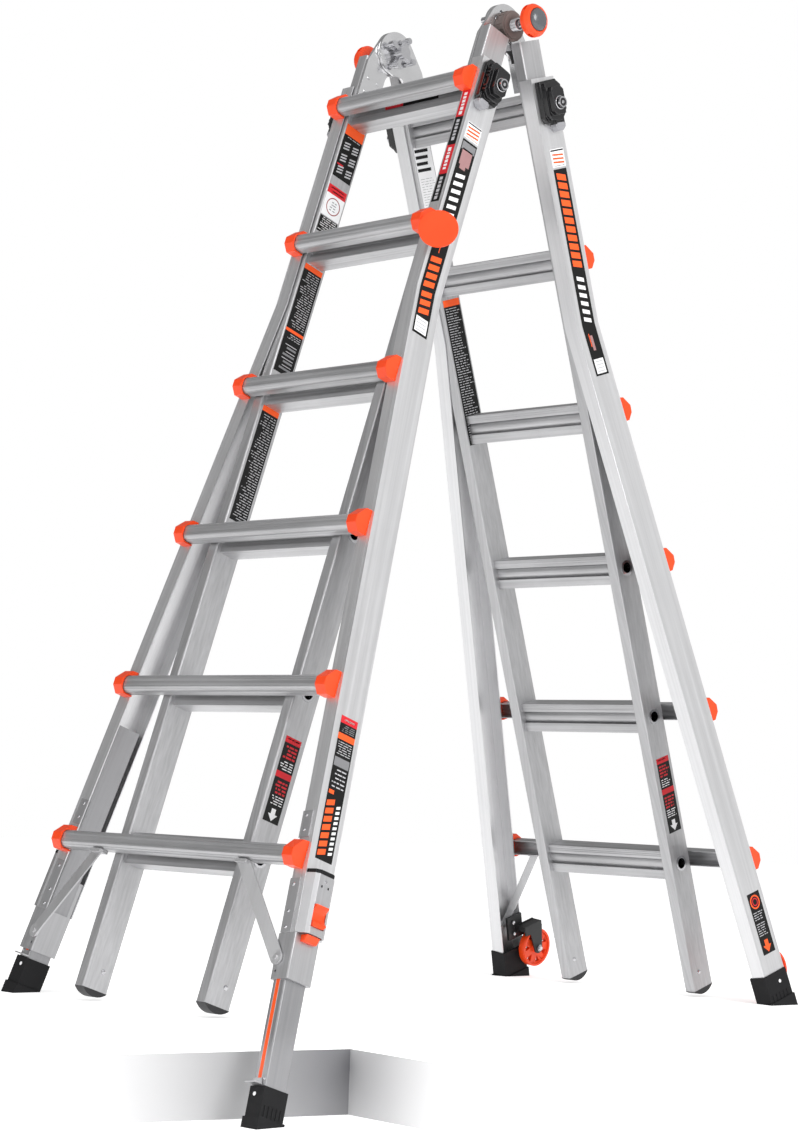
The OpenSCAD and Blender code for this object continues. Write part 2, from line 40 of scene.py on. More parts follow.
JOINTS = {j["name"]: j for j in frame["joints"]}

# ---- places ----
# A section's own frame is in millimetres: x across, y outwards, z up the rails from the hinge
# axis, for the right side. Distances down a rail are written s, and u below the bend.
HINGE = Vector(JOINTS["main_hinge"]["pos_m"])
LEAN = math.radians(-JOINTS["main_hinge"]["range_deg"][0] / 2)
FLARE = math.asin(abs(JOINTS["right_leg_slide"]["axis"][0]))
WEB, BEND = 197.0, 588.0
INNER, INNER_W = 158.0, 25.0
FLANGE_Y = 65.0
BORE_Y = 32.0
FIRST_RUNG, RUNG_RADIUS = 159.5, 14.95
LOCK_END = 240.0
LEG_DROP = 154 / (math.cos(FLARE) * math.cos(LEAN))
# Heights of a printed label over its face: the backing, the ink on it, and ink over ink.
BACKING, INK, TOP_INK = (0.02, 0.14), (0.15, 0.22), (0.23, 0.27)
SIDES = (("left", -1), ("right", 1))


def place(section, side=1, splayed=False, drop=0.0):
    """Matrix from a section's frame, or from its splayed part's, to the row frame."""
    m = Matrix.Translation(HINGE) @ Matrix.Scale(0.001, 4)
    if section == "front":
        m = m @ Matrix.Rotation(-LEAN, 4, "X") @ Matrix.Diagonal((1, -1, 1, 1))
    else:
        m = m @ Matrix.Rotation(LEAN, 4, "X")
    m = m @ Matrix.Diagonal((side, 1, 1, 1))
    if splayed:
        m = m @ Matrix.Translation((WEB, 0, -BEND)) @ Matrix.Rotation(-FLARE, 4, "Y")
        m = m @ Matrix.Translation((0, 0, -drop))
    return m


# ---- materials ----
class Shader:
    """One node material, with short calls for the nodes that the finishes share."""

    def __init__(self, name, rough, metallic=0.0, coat=0.0, gloss=0.5):
        self.mat = bpy.data.materials.new(name)
        self.mat.use_nodes = True
        self.tree = self.mat.node_tree
        self.bsdf = self.tree.nodes["Principled BSDF"]
        self.bsdf.inputs["Metallic"].default_value = metallic
        self.bsdf.inputs["Roughness"].default_value = rough
        self.bsdf.inputs["Coat Weight"].default_value = coat
        self.bsdf.inputs["Specular IOR Level"].default_value = gloss

    def put(self, target, value):
        if isinstance(value, bpy.types.NodeSocket):
            self.tree.links.new(value, target)
        elif isinstance(value, tuple) and len(value) == 3 and target.type == "RGBA":
            target.default_value = (*value, 1)
        else:
            target.default_value = value

    def math(self, operation, a, b=0.0):
        n = self.tree.nodes.new("ShaderNodeMath")
        n.operation = operation
        self.put(n.inputs[0], a)
        self.put(n.inputs[1], b)
        return n.outputs[0]

    def coords(self, scale=(1, 1, 1)):
        """The point across a rail, through its depth and down its length, each times its scale."""
        new = self.tree.nodes.new
        at = new("ShaderNodeTexCoord").outputs["Object"]
        shift = new("ShaderNodeVectorMath")
        shift.operation = "SUBTRACT"
        self.put(shift.inputs[0], at)
        shift.inputs[1].default_value = HINGE
        axes = new("ShaderNodeSeparateXYZ")
        self.put(axes.inputs[0], shift.outputs[0])
        x = self.math("ABSOLUTE", axes.outputs[0])
        y = self.math("ABSOLUTE", axes.outputs[1])
        down = self.math("MULTIPLY", axes.outputs[2], -1.0)
        s = self.math("ADD", self.math("MULTIPLY", y, math.sin(LEAN)),
                      self.math("MULTIPLY", down, math.cos(LEAN)))
        depth = self.math("SUBTRACT", self.math("MULTIPLY", y, math.cos(LEAN)),
                          self.math("MULTIPLY", down, math.sin(LEAN)))
        below = self.math("MAXIMUM", self.math("SUBTRACT", s, BEND / 1000), 0.0)
        across = self.math("SUBTRACT", x, self.math("MULTIPLY", below, math.tan(FLARE)))
        joined = new("ShaderNodeCombineXYZ")
        for i, (value, k) in enumerate(zip((across, depth, s), scale)):
            self.put(joined.inputs[i], self.math("MULTIPLY", value, float(k)))
        return joined.outputs[0]

    def plain(self, scale):
        """The point in the object's own frame, times a scale along each axis."""
        new = self.tree.nodes.new
        n = new("ShaderNodeMapping")
        n.inputs["Scale"].default_value = scale
        self.put(n.inputs[0], new("ShaderNodeTexCoord").outputs["Object"])
        return n.outputs[0]

    def noise(self, vector, scale=1.0, detail=3.0, rough=0.55):
        n = self.tree.nodes.new("ShaderNodeTexNoise")
        self.put(n.inputs["Vector"], vector)
        n.inputs["Scale"].default_value = scale
        n.inputs["Detail"].default_value = detail
        n.inputs["Roughness"].default_value = rough
        return n.outputs["Fac"]

    def spread(self, value, low, high):
        """Maps a noise's usual 0.3 to 0.7 onto low to high."""
        n = self.tree.nodes.new("ShaderNodeMapRange")
        self.put(n.inputs["Value"], value)
        n.inputs["From Min"].default_value = 0.3
        n.inputs["From Max"].default_value = 0.7
        n.inputs["To Min"].default_value = low
        n.inputs["To Max"].default_value = high
        return n.outputs[0]

    def mix(self, fac, a, b):
        n = self.tree.nodes.new("ShaderNodeMix")
        n.data_type = "RGBA"
        self.put(n.inputs[0], fac)
        self.put(n.inputs[6], a)
        self.put(n.inputs[7], b)
        return n.outputs[2]

    def colour(self, value):
        self.put(self.bsdf.inputs["Base Color"], value)
        return self

    def rough(self, value):
        self.put(self.bsdf.inputs["Roughness"], value)
        return self

    def bump(self, height, strength, distance=0.0002):
        n = self.tree.nodes.new("ShaderNodeBump")
        n.inputs["Strength"].default_value = strength
        n.inputs["Distance"].default_value = distance
        self.put(n.inputs["Height"], height)
        self.put(self.bsdf.inputs["Normal"], n.outputs[0])
        return self


def tone(c, k):
    return tuple(min(1.0, v * k) for v in c)


def brushed(name, base, rough, along="rail", metallic=0.7, contrast=0.07, grain=0.25):
    """Extruded aluminium: fine die lines along the length, soft clouding and small scuffs."""
    m = Shader(name, rough, metallic)
    if along == "rail":
        lines = m.noise(m.coords((210, 210, 2.2)), 1.0, 4.0)
        cloud = m.noise(m.coords((14, 14, 3.0)), 1.0, 3.0)
    else:
        lines = m.noise(m.plain((1.6, 210, 210)), 1.0, 4.0)
        cloud = m.noise(m.plain((3.0, 14, 14)), 1.0, 3.0)
    scuff = m.noise(m.plain((70, 70, 70)), 1.0, 6.0, 0.7)
    fac = m.math("ADD", m.math("MULTIPLY", m.spread(lines, 0.0, 1.0), 0.55),
                 m.math("MULTIPLY", m.spread(cloud, 0.0, 1.0), 0.45))
    m.colour(m.mix(fac, tone(base, 1 - contrast), tone(base, 1 + contrast)))
    m.rough(m.math("ADD", m.spread(lines, rough - 0.05, rough + 0.07),
                   m.spread(scuff, -0.02, 0.04)))
    return m.bump(lines, grain).mat


def moulded(name, base, rough, pebble=500, strength=0.12, coat=0.0, metallic=0.0, vary=0.06,
            gloss=0.5):
    """Moulded plastic, rubber or cast metal: a fine skin texture and slight colour variation."""
    m = Shader(name, rough, metallic, coat, gloss)
    skin = m.noise(m.plain((pebble,) * 3), 1.0, 3.0)
    cloud = m.noise(m.plain((28, 28, 28)), 1.0, 4.0)
    m.colour(m.mix(m.spread(cloud, 0.0, 1.0), tone(base, 1 - vary), tone(base, 1 + vary)))
    m.rough(m.math("ADD", m.spread(cloud, rough - 0.05, rough + 0.05), m.spread(skin, -0.03, 0.03)))
    return m.bump(skin, strength, 0.00015).mat


def film(name, base):
    """Printed label film: flat ink with a faint mottle and a slightly uneven gloss."""
    return moulded(name, base, 0.38, 900, 0.05, vary=0.04, gloss=0.25)


MATS = {
    # The outer and inner rails are one aluminium in lit and shaded copies: the outer rails are
    # painted lighter as painted light, the inner rails darker as painted shade.
    "rail_out": brushed("rail_outer_lit", (0.73, 0.73, 0.74), 0.34, metallic=0.85, contrast=0.1),
    "rail_in": brushed("rail_inner_shaded", (0.50, 0.50, 0.51), 0.42, metallic=0.8, contrast=0.2),
    "rung": brushed("rung_ribbed", (0.5, 0.5, 0.51), 0.4, "rung", metallic=0.8, contrast=0.34,
                    grain=0.6),
    "cast": brushed("cast_alloy", (0.60, 0.60, 0.61), 0.42, metallic=0.8, contrast=0.08),
    "casing": brushed("casing_alloy", (0.46, 0.46, 0.47), 0.42, metallic=0.8, contrast=0.14),
    "leg": brushed("leg_alloy", (0.34, 0.34, 0.35), 0.4, metallic=0.8, contrast=0.12),
    "hinge": moulded("hinge_plated", (0.74, 0.74, 0.75), 0.2, 300, 0.02, metallic=0.97, vary=0.03),
    "hub": moulded("hub_brown_grey", (0.17, 0.135, 0.125), 0.55, 260, 0.5, metallic=0.4, vary=0.16),
    "steel": moulded("steel_plated", (0.6, 0.6, 0.62), 0.18, 400, 0.03, metallic=1.0),
    "orange": moulded("plastic_orange", (0.93, 0.062, 0.004), 0.38, 700, 0.1),
    "black": moulded("plastic_black", (0.006, 0.006, 0.007), 0.22, 500, 0.06, coat=0.15),
    "bracket": moulded("bracket_black", (0.010, 0.010, 0.011), 0.42, 350, 0.35),
    "rubber": moulded("rubber_black", (0.008, 0.008, 0.009), 0.7, 650, 0.6, gloss=0.25),
    "plug": moulded("plug_black", (0.018, 0.018, 0.02), 0.45, 500, 0.3),
    "dome": moulded("dome_grey", (0.085, 0.09, 0.1), 0.25, 500, 0.06, coat=0.4),
    "wedge": moulded("wedge_grey", (0.35, 0.35, 0.37), 0.35, 500, 0.1, metallic=0.3),
    "l_black": film("film_black", (0.005, 0.005, 0.005)),
    "l_white": film("film_white", (0.86, 0.86, 0.87)),
    "l_orange": film("film_orange", (0.95, 0.11, 0.02)),
    "l_red": film("film_red", (0.62, 0.02, 0.03)),
    "l_darkred": film("film_dark_red", (0.28, 0.03, 0.035)),
    "l_grey": film("film_grey", (0.22, 0.22, 0.23)),
    "l_pale": film("film_pale_grey", (0.5, 0.5, 0.52)),
    "l_pink": film("film_dusty_pink", (0.36, 0.2, 0.2)),
}


def finish_of(node):
    """The finish of a CAD node, from its name."""
    for key, value in (("inner_rail", "rail_in"), ("outer_rail", "rail_out"), ("rungs", "rung"),
                       ("rung_caps", "orange"), ("rail_plugs", "plug"), ("bushings", "steel"),
                       ("hinge_plate", "hinge"), ("hinge_hub", "hub"), ("hinge_knob", "orange"),
                       ("lock_housing", "black"), ("leveler_leg", "leg"), ("boot", "rubber"),
                       ("leveler", "casing"), ("button", "orange"), ("braces", "cast"),
                       ("wheel_brackets", "bracket"), ("wheel_axles", "steel"),
                       ("wheel_", "orange"), ("rung_tag", "orange")):
        if key in node:
            return value
    return "steel"


BEVELS = {"rung_caps": 1.6, "lock_housing": 1.4, "boot": 2.0, "leveler_housing": 1.0,
          "leveler_pedal": 0.6, "button": 1.2, "hinge_hub": 1.0, "wheel_left": 0.8,
          "wheel_right": 0.8, "wheel_brackets": 0.4, "outer_rail": 0.5, "rung_tag": 0.5,
          "hinge_plate": 0.5, "braces": 0.4, "leveler_collar": 0.8}
for name, obj in NODES.items():
    obj.data.materials.clear()
    obj.data.materials.append(MATS[finish_of(name)])
    width = next((w for key, w in BEVELS.items() if key in name), 0)
    if width:
        weld = obj.modifiers.new("weld", "WELD")
        weld.merge_threshold = 1e-6
        bevel = obj.modifiers.new("bevel", "BEVEL")
        bevel.width = width / 1000
        bevel.segments = 2
        bevel.limit_method = "ANGLE"
        bevel.angle_limit = math.radians(32)
        bevel.harden_normals = True


# ---- pieces ----
class Piece:
    """One mesh drawn in a section's frame in millimetres, then put in place and on its body."""

    def __init__(self, name, where, body, finishes):
        self.name, self.where, self.body = name, where, body
        self.finishes = list(finishes)
        self.bm = bmesh.new()

    def index(self, finish):
        if finish not in self.finishes:
            self.finishes.append(finish)
        return self.finishes.index(finish)

    def faces(self, loops, finish):
        k = self.index(finish)
        for loop in loops:
            self.bm.faces.new(loop).material_index = k

    def prism(self, outline, axis, a, b, finish):
        """A closed outline across an axis, drawn from a to b along it."""
        at = {"x": lambda p, h: (h, p[0], p[1]), "y": lambda p, h: (p[0], h, p[1]),
              "z": lambda p, h: (p[0], p[1], h)}[axis]
        low = [self.bm.verts.new(at(p, a)) for p in outline]
        high = [self.bm.verts.new(at(p, b)) for p in outline]
        n = len(outline)
        sides = [(low[i], low[(i + 1) % n], high[(i + 1) % n], high[i]) for i in range(n)]
        self.faces([low, high, *sides], finish)
        return self

    def box(self, x0, x1, y0, y1, z0, z1, finish):
        return self.prism([(x0, y0), (x1, y0), (x1, y1), (x0, y1)], "z", z0, z1, finish)

    def lathe(self, profile, centre, axis, finish, n=28):
        """Revolves (radius, height) points about an axis through centre; radius 0 closes it."""
        turn = {"x": lambda r, a, h: (h, r * math.cos(a), r * math.sin(a)),
                "y": lambda r, a, h: (r * math.cos(a), h, r * math.sin(a)),
                "z": lambda r, a, h: (r * math.cos(a), r * math.sin(a), h)}[axis]
        rings = []
        for r, h in profile:
            steps = 1 if r == 0 else n
            rings.append([self.bm.verts.new(Vector(turn(r, math.tau * i / n, h)) + Vector(centre))
                          for i in range(steps)])
        loops = []
        for a, b in zip(rings, rings[1:]):
            for i in range(n):
                j = (i + 1) % n
                if len(a) == 1:
                    loops.append((a[0], b[i], b[j]))
                elif len(b) == 1:
                    loops.append((a[i], b[0], a[j]))
                else:
                    loops.append((a[i], b[i], b[j], a[j]))
        self.faces(loops, finish)
        return self

    def dome(self, centre, axis, r, h, finish):
        """A rivet head: flat underneath and rounded on top."""
        steps = [(r * math.cos(t * math.pi / 10), h * math.sin(t * math.pi / 10)) for t in range(5)]
        return self.lathe([(0, 0), *steps, (0, h)], centre, axis, finish, 20)

    def done(self, bevel=0.0):
        bmesh.ops.transform(self.bm, matrix=self.where, verts=self.bm.verts)
        bmesh.ops.recalc_face_normals(self.bm, faces=self.bm.faces)
        mesh = bpy.data.meshes.new(self.name)
        self.bm.to_mesh(mesh)
        self.bm.free()
        for finish in self.finishes:
            mesh.materials.append(MATS[finish])
        mesh.shade_smooth()
        mesh.set_sharp_from_angle(angle=math.radians(35))
        obj = bpy.data.objects.new(self.name, mesh)
        bpy.context.scene.collection.objects.link(obj)
        if bevel:
            mod = obj.modifiers.new("bevel", "BEVEL")
            mod.width = bevel / 1000
            mod.segments = 2
            mod.limit_method = "ANGLE"
            mod.angle_limit = math.radians(40)
        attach(obj, self.body)
        return obj


class Label:
    """A printed label on a face across x: a thin plate with raised ink blocks."""

    def __init__(self, name, where, body, x, out, backing, y, s, seed=1):
        self.piece = Piece(name, where, body, [backing])
        self.x, self.out, self.y, self.s = x, out, y, s
        self.dice = random.Random(seed)
        self.ink(backing, *y, *s, BACKING)

    def ink(self, finish, y0, y1, s0, s1, layer=INK):
        a, b = (self.x + self.out * h for h in layer)
        self.piece.box(min(a, b), max(a, b), y0, y1, -s1, -s0, finish)
        return self

    def lines(self, finish, y0, y1, s0, s1, pitch=5.0, thick=1.8, ragged=0.35):
        """Rows across the face, each of a different length and broken into dashes."""
        s = s0
        while s + thick <= s1:
            y, end = y0, y1 - self.dice.uniform(0, ragged) * (y1 - y0)
            while y < end - 1:
                far = min(end, y + self.dice.uniform(4, 13))
                self.ink(finish, y, far, s, s + thick)
                y = far + self.dice.uniform(1.5, 4)
            s += pitch
        return self

    def blocks(self, finish, y0, y1, s0, s1, size=9.0, gap=5.0, slant=6.0):
        """A row of equal slanted dashes along the face."""
        x0, x1 = sorted(self.x + self.out * h for h in INK)
        count = max(1, int((s1 - s0 - slant + gap) // (size + gap)))
        for i in range(count):
            s = s0 + i * (s1 - s0 - slant - size) / max(1, count - 1)
            self.piece.prism([(y0, -s), (y0, -s - size), (y1, -s - size - slant), (y1, -s - slant)],
                             "x", x0, x1, finish)
        return self

    def done(self):
        return self.piece.done()


def ring(label, finish, y, s, r, width):
    """A round outline printed on a label."""
    n = 36
    x0, x1 = (label.x + label.out * h for h in INK)
    for i in range(n):
        a, b = math.tau * i / n, math.tau * (i + 1) / n
        quad = [(y + k * math.cos(t), -s + k * math.sin(t))
                for k, t in ((r, a), (r, b), (r - width, b), (r - width, a))]
        label.piece.prism(quad, "x", x0, x1, finish)


def arrow_down(label, finish, y, s0, s1, half):
    """A block arrow that points down the rail."""
    mid = s0 + (s1 - s0) * 0.45
    x0, x1 = (label.x + label.out * h for h in INK)
    shaft = half * 0.45
    label.piece.prism([(y - shaft, -s0), (y + shaft, -s0), (y + shaft, -mid), (y + half, -mid),
                       (y, -s1), (y - half, -mid), (y - shaft, -mid)], "x", x0, x1, finish)


# ---- labels: generic bars and blocks, with no lettering ----
def inner_left_front():
    """The panels inside the left front rail, from the top down."""
    where = place("front", -1)
    a = Label("label_upper_panel", where, "front_inner", INNER, -1,
              "l_black", (8, 57), (187, 301), 3)
    a.ink("l_orange", 8, 57, 187, 209).lines("l_pale", 13, 50, 212, 217, 5, 1.4)
    for i in range(3):
        for y in (12, 35):
            a.blocks("l_pale", y, y + 15, 222 + i * 26, 240 + i * 26, 3.0, 3.0, 3.0)
    a.ink("l_red", 38, 54, 272, 275)
    a.done()
    b = Label("label_round_panel", where, "front_inner", INNER, -1,
              "l_white", (8, 57), (320, 386), 4)
    b.ink("l_red", 8, 57, 320, 338).ink("l_white", 14, 50, 324, 326).ink("l_white", 14, 44, 331, 333)
    ring(b, "l_darkred", 32, 361, 18, 2)
    b.lines("l_grey", 25, 40, 352, 372, 5.5, 1.8, 0.0)
    b.done()
    c = Label("label_stripe_panel", where, "front_inner", INNER, -1,
              "l_black", (9, 56), (388, 422), 5)
    c.lines("l_white", 12, 54, 390, 420, 4.4, 1.3, 0.25).done()
    d = Label("label_steps_panel", where, "front_inner", INNER, -1,
              "l_black", (9, 56), (495, 724), 6)
    d.ink("l_orange", 9, 56, 495, 506).lines("l_pale", 13, 53, 510, 630, 4.8, 1.3, 0.3)
    d.ink("l_orange", 9, 56, 633, 639).lines("l_pale", 13, 53, 643, 655, 4, 1.2)
    for i in range(4):
        s = 664 + i * 14
        d.ink("l_pale", 16, 46 - 6 * (i % 2), s, s + 1.5)
        d.ink("l_grey", 16, 40 + 6 * (i % 2), s + 5, s + 9)
    d.done()
    e = Label("label_long_panel", where, "front_inner", INNER, -1,
              "l_black", (11, 53), (798, 1034), 7)
    e.ink("l_orange", 11, 53, 798, 809).lines("l_pale", 14, 50, 814, 1030, 5.2, 1.4, 0.4).done()


def inner_left_rear():
    """The white panel and the long black one inside the left rear rail."""
    where = place("rear", -1)
    a = Label("label_white_panel", where, "rear_inner", INNER, -1,
              "l_white", (8, 57), (188, 398), 8)
    for i in range(4):
        s = 192 + i * 13
        a.ink("l_black", 10, 48 - 3 * (i % 3), s, s + 6.5)
    a.lines("l_grey", 13, 52, 252, 392, 5.2, 0.8, 0.3).done()
    b = Label("label_rear_steps", where, "rear_inner", INNER, -1, "l_black", (9, 56), (500, 800), 9)
    b.ink("l_orange", 9, 56, 500, 514).lines("l_pale", 13, 53, 518, 795, 5.2, 1.4, 0.35).done()


def flange_strip():
    """The red and black strip down the outer flange of the right front rail."""
    p = Piece("label_flange_strip", place("front"), "front_outer", ["l_black"])
    dice = random.Random(10)
    x0, x1 = 168.0, 189.0
    backing, mark_layer = ([FLANGE_Y + h for h in layer] for layer in (BACKING, INK))
    for finish, mark, s0, s1 in (("l_red", "l_white", 178, 236), ("l_black", "l_pale", 236, 296),
                                 ("l_red", "l_white", 296, 358), ("l_black", "l_pale", 358, 416)):
        p.box(x0, x1, *backing, -s1, -s0, finish)
        s = s0 + 6
        while s < s1 - 8:
            e = s + dice.uniform(3, 8)
            p.box(x0 + 6, x1 - 7, *mark_layer, -e, -s, mark)
            s = e + 2.5
    p.done()


def rung_strip():
    """A label bent round the tube of the first front rung."""
    p = Piece("label_rung_strip", place("front"), "front_inner", ["l_black"])

    def band(x0, x1, layer, a0, a1, finish):
        angles = [a0 + (a1 - a0) * i / 8 for i in range(9)]
        back, edge = ([(BORE_Y + r * math.cos(a), r * math.sin(a) - FIRST_RUNG) for a in angles]
                      for r in (RUNG_RADIUS + h for h in layer))
        p.prism(edge + back[::-1], "x", x0, x1, finish)

    band(-70, -20, BACKING, -0.55, 0.62, "l_red")
    band(-20, 78, BACKING, -0.55, 0.62, "l_black")
    dice = random.Random(11)
    for x0, x1, finish in ((-64, -26, "l_white"), (-14, 40, "l_grey"), (46, 74, "l_pale")):
        x = x0
        while x < x1:
            w = dice.uniform(3, 7)
            band(x, min(x + w, x1), INK, -0.12, 0.25, finish)
            x += w + 2
    p.done()


def web_bands(side, tag):
    """The long bands on the outer webs, straight above the bend and splayed below it."""
    front, low = place("front", side), place("front", side, True)
    a = Label("label_front_badge_" + tag, front, "front_outer", WEB, 1,
              "l_white", (18, 56), (243, 276), 12)
    a.ink("l_black", 19, 55, 244.5, 247).blocks("l_orange", 21, 53, 250, 270, 3.5, 3, 2)
    a.ink("l_orange", 20, 54, 272.5, 273.6).done()
    b = Label("label_front_band_" + tag, front, "front_outer", WEB, 1,
              "l_black", (18, 57), (280, 588), 13)
    b.ink("l_grey", 20, 55, 284, 300).ink("l_pink", 24, 51, 297, 330).ink("l_pink", 32, 47, 330, 338)
    b.blocks("l_white", 27, 50, 345, 440, 8, 6)
    b.ink("l_orange", 36, 38, 452, 512)
    b.blocks("l_orange", 25, 51, 518, 586, 11, 5).done()
    c = Label("label_front_band_low_" + tag, low, "front_outer", 0.0, 1,
              "l_black", (18, 57), (0, 95), 14)
    c.blocks("l_orange", 25, 51, 2, 54, 11, 5).ink("l_white", 22, 53, 60, 90)
    for i in range(4):
        c.ink("l_pale", 25, 50, 64 + 7 * i, 66.5 + 7 * i, TOP_INK)
    c.done()
    rear, low = place("rear", side), place("rear", side, True)
    a = Label("label_rear_badge_" + tag, rear, "rear_outer", WEB, 1,
              "l_white", (17, 55), (244, 279), 15)
    a.ink("l_black", 18, 54, 245.5, 248.5).blocks("l_orange", 21, 52, 253, 273, 3.5, 3, 2)
    a.ink("l_black", 22, 51, 276, 277).done()
    b = Label("label_rear_band_" + tag, rear, "rear_outer", WEB, 1,
              "l_black", (17, 54), (283, 588), 16)
    b.blocks("l_orange", 23, 48, 290, 478, 12, 5)
    b.blocks("l_white", 26, 46, 492, 586, 8, 6).done()
    c = Label("label_rear_band_low_" + tag, low, "rear_outer", 0.0, 1,
              "l_black", (17, 54), (0, 102), 17)
    c.ink("l_pink", 30, 37, 22, 52)
    c.ink("l_orange", 27, 29, 18, 44).ink("l_white", 22, 49, 69, 98)
    for i in range(4):
        c.ink("l_pale", 25, 46, 73 + 6.5 * i, 75.3 + 6.5 * i, TOP_INK)
    c.done()


def lower_labels(side, tag):
    """The labels near the feet: on the inner rails, over the leveler and on the rear web."""
    for section, n in (("front", 18), ("rear", 19)):
        a = Label(f"label_{section}_limit_{tag}", place(section, side), section + "_inner",
                  INNER + INNER_W, 1, "l_black", (15, 52), (1463, 1617), n)
        a.ink("l_red", 15, 52, 1463, 1474).lines("l_white", 19, 48, 1466, 1471, 9, 2)
        a.lines("l_red", 19, 49, 1479, 1504, 6.4, 3.4, 0.3)
        a.lines("l_white", 19, 49, 1507, 1524, 4.4, 1.6, 0.3).ink("l_red", 15, 52, 1526, 1537)
        a.lines("l_red", 19, 49, 1543, 1566, 6.4, 3.4, 0.3)
        a.lines("l_white", 19, 49, 1570, 1587, 4.4, 1.6, 0.3)
        arrow_down(a, "l_white", 33, 1592, 1614, 11)
        a.done()
    b = Label("label_front_leveler_" + tag, place("front", side, True), "front_outer", 0.0, 1,
              "l_black", (11, 51), (843, 1100), 20)
    b.ink("l_red", 11, 51, 843, 856).ink("l_white", 18, 42, 848, 851)
    b.lines("l_grey", 15, 48, 859, 872, 3.4, 1.2).ink("l_orange", 11, 51, 874, 885)
    b.lines("l_pale", 15, 48, 889, 914, 4.2, 1.3, 0.4).ink("l_grey", 13, 49, 917, 933)
    b.lines("l_pale", 16, 46, 938, 975, 7.5, 2.2, 0.3).ink("l_orange", 36, 48, 976, 983)
    b.blocks("l_orange", 30, 48, 990, 1094, 10, 4)
    b.blocks("l_white", 15, 24, 998, 1088, 5, 4, 3).done()
    c = Label("label_rear_foot_" + tag, place("rear", side, True), "rear_outer", 0.0, 1,
              "l_black", (18, 55), (1159, 1283), 21)
    ring(c, "l_orange", 36, 1178, 14, 3)
    ring(c, "l_red", 36, 1178, 8, 2)
    c.lines("l_pale", 22, 51, 1198, 1216, 4.6, 1.4, 0.3)
    c.lines("l_pale", 22, 51, 1221, 1248, 4.6, 1.4, 0.3)
    arrow_down(c, "l_orange", 36, 1255, 1280, 12)
    c.done()


inner_left_front()
inner_left_rear()
flange_strip()
rung_strip()
for side_name, side_sign in SIDES:
    web_bands(side_sign, side_name)
    lower_labels(side_sign, side_name)


# ---- fittings ----
def rail_rivets():
    """A rivet on each side of an inner rail, just above its plug."""
    rivet = (26, -1910)
    for section in ("front", "rear"):
        for tag, side in SIDES:
            p = Piece(f"{section}_rail_rivets_{tag}", place(section, side), section + "_inner",
                      ["steel"])
            for x, out in ((INNER, -1), (INNER + INNER_W, 1)):
                p.lathe([(0, 0), (5, 0), (4.6, out * 0.9), (3, out * 1.6), (0, out * 1.8)],
                        (x, *rivet), "x", "steel", 20)
            p.done()


def lock_trim():
    """Ribs, a steel ring and a grey foot on each lock housing, and the dark end of its plunger."""
    bore = (BORE_Y, -FIRST_RUNG)
    for section in ("front", "rear"):
        for tag, side in SIDES:
            where = place(section, side)
            p = Piece(f"{section}_lock_trim_{tag}", where, section + "_outer", ["black"])
            for z in (-133, -141, -149, -170, -178):
                p.box(210, 219.5, 51, 58.5, z - 2.2, z + 2.2, "black")
            p.lathe([(11.4, 34.1), (13.4, 34.1), (13.4, 36.0), (12.6, 36.6), (11.4, 36.6),
                     (11.4, 34.1)], (WEB, *bore), "x", "steel", 32)
            p.box(212.2, 213.2, 35, 55, -203, -196, "wedge")
            p.prism([(31.6, -198), (58.4, -198), (58.4, -204.2), (50.2, -211.4), (37.8, -211.4),
                     (31.6, -204.2)], "x", 197.3, 212.4, "wedge")
            p.done(0.5)
            eye = Piece(f"{section}_lock_eye_{tag}", where, f"{section}_{tag}_lock", ["black"])
            eye.lathe([(0, -0.55), (7.8, -0.55), (7.8, -0.4), (5, -0.2), (0, -0.15)],
                      (LOCK_END, *bore), "x", "black", 28)
            eye.lathe([(0, -0.13), (3.2, -0.13), (2.8, 0.5), (0, 0.7)],
                      (LOCK_END, *bore), "x", "steel", 20)
            eye.done()


def knob_trim():
    """The grey dome in each orange palm knob, and the ribs and ring of the hub behind it."""
    for tag, side in SIDES:
        p = Piece("knob_dome_" + tag, place("front", side), tag + "_hinge_knob", ["dome"])
        p.lathe([(0, 248.2), (9, 248.4), (21.8, 241.0), (21.9, 243.4), (20.5, 246.8), (17, 249.6),
                 (12.5, 251.4), (7, 252.4), (3, 252.7), (0, 252.8)], (0, 0, 0), "x", "dome", 40)
        p.done()
        q = Piece("hub_ribs_" + tag, place("front", side), "front_inner", ["hub"])
        corners = [(28.6, -1.6), (30.2, -1.2), (30.2, 1.2), (28.6, 1.6)]
        for a in (math.tau * i / 18 for i in range(18) if i % 3):
            c, s = math.cos(a), math.sin(a)
            q.prism([(r * c - t * s, r * s + t * c) for r, t in corners], "x", 162, 176.5, "hub")
        q.lathe([(12, 178.05), (25, 178.05), (25, 179.2), (23, 179.8), (14, 179.8), (12, 179.2),
                 (12, 178.05)], (0, 0, 0), "x", "hub", 40)
        q.done(0.3)


def leveler_trim():
    """A black seam, a stud, screws and an orange tongue on each leveler casing."""
    for tag, side in SIDES:
        low = place("front", side, True)
        p = Piece("leveler_trim_" + tag, low, "front_outer", ["black"])
        p.prism([(0.2, 8), (7, 10), (21, 18), (23, 24), (23, 50), (17, 58.5), (0.2, 63)], "z",
                -1129.4, -1123, "rubber")
        p.box(22.1, 22.5, 27, 30, -1152, -1148, "black")
        p.box(22.1, 22.5, 42, 45, -1152, -1148, "black")
        p.lathe([(0, 22.1), (3.2, 22.1), (2.8, 23.0), (0, 23.2)], (0, 36, -1141), "x", "steel", 20)
        p.prism([(3.3, -1234.4), (18, -1234.4), (12, -1246), (3.3, -1246)], "y", 22, 52, "orange")
        for u in (1028, 1054, 1150, 1196, 1224):
            p.dome((-22.5, 66.65, -u), "y", 3.2, 1.5, "steel")
        p.done(0.3)


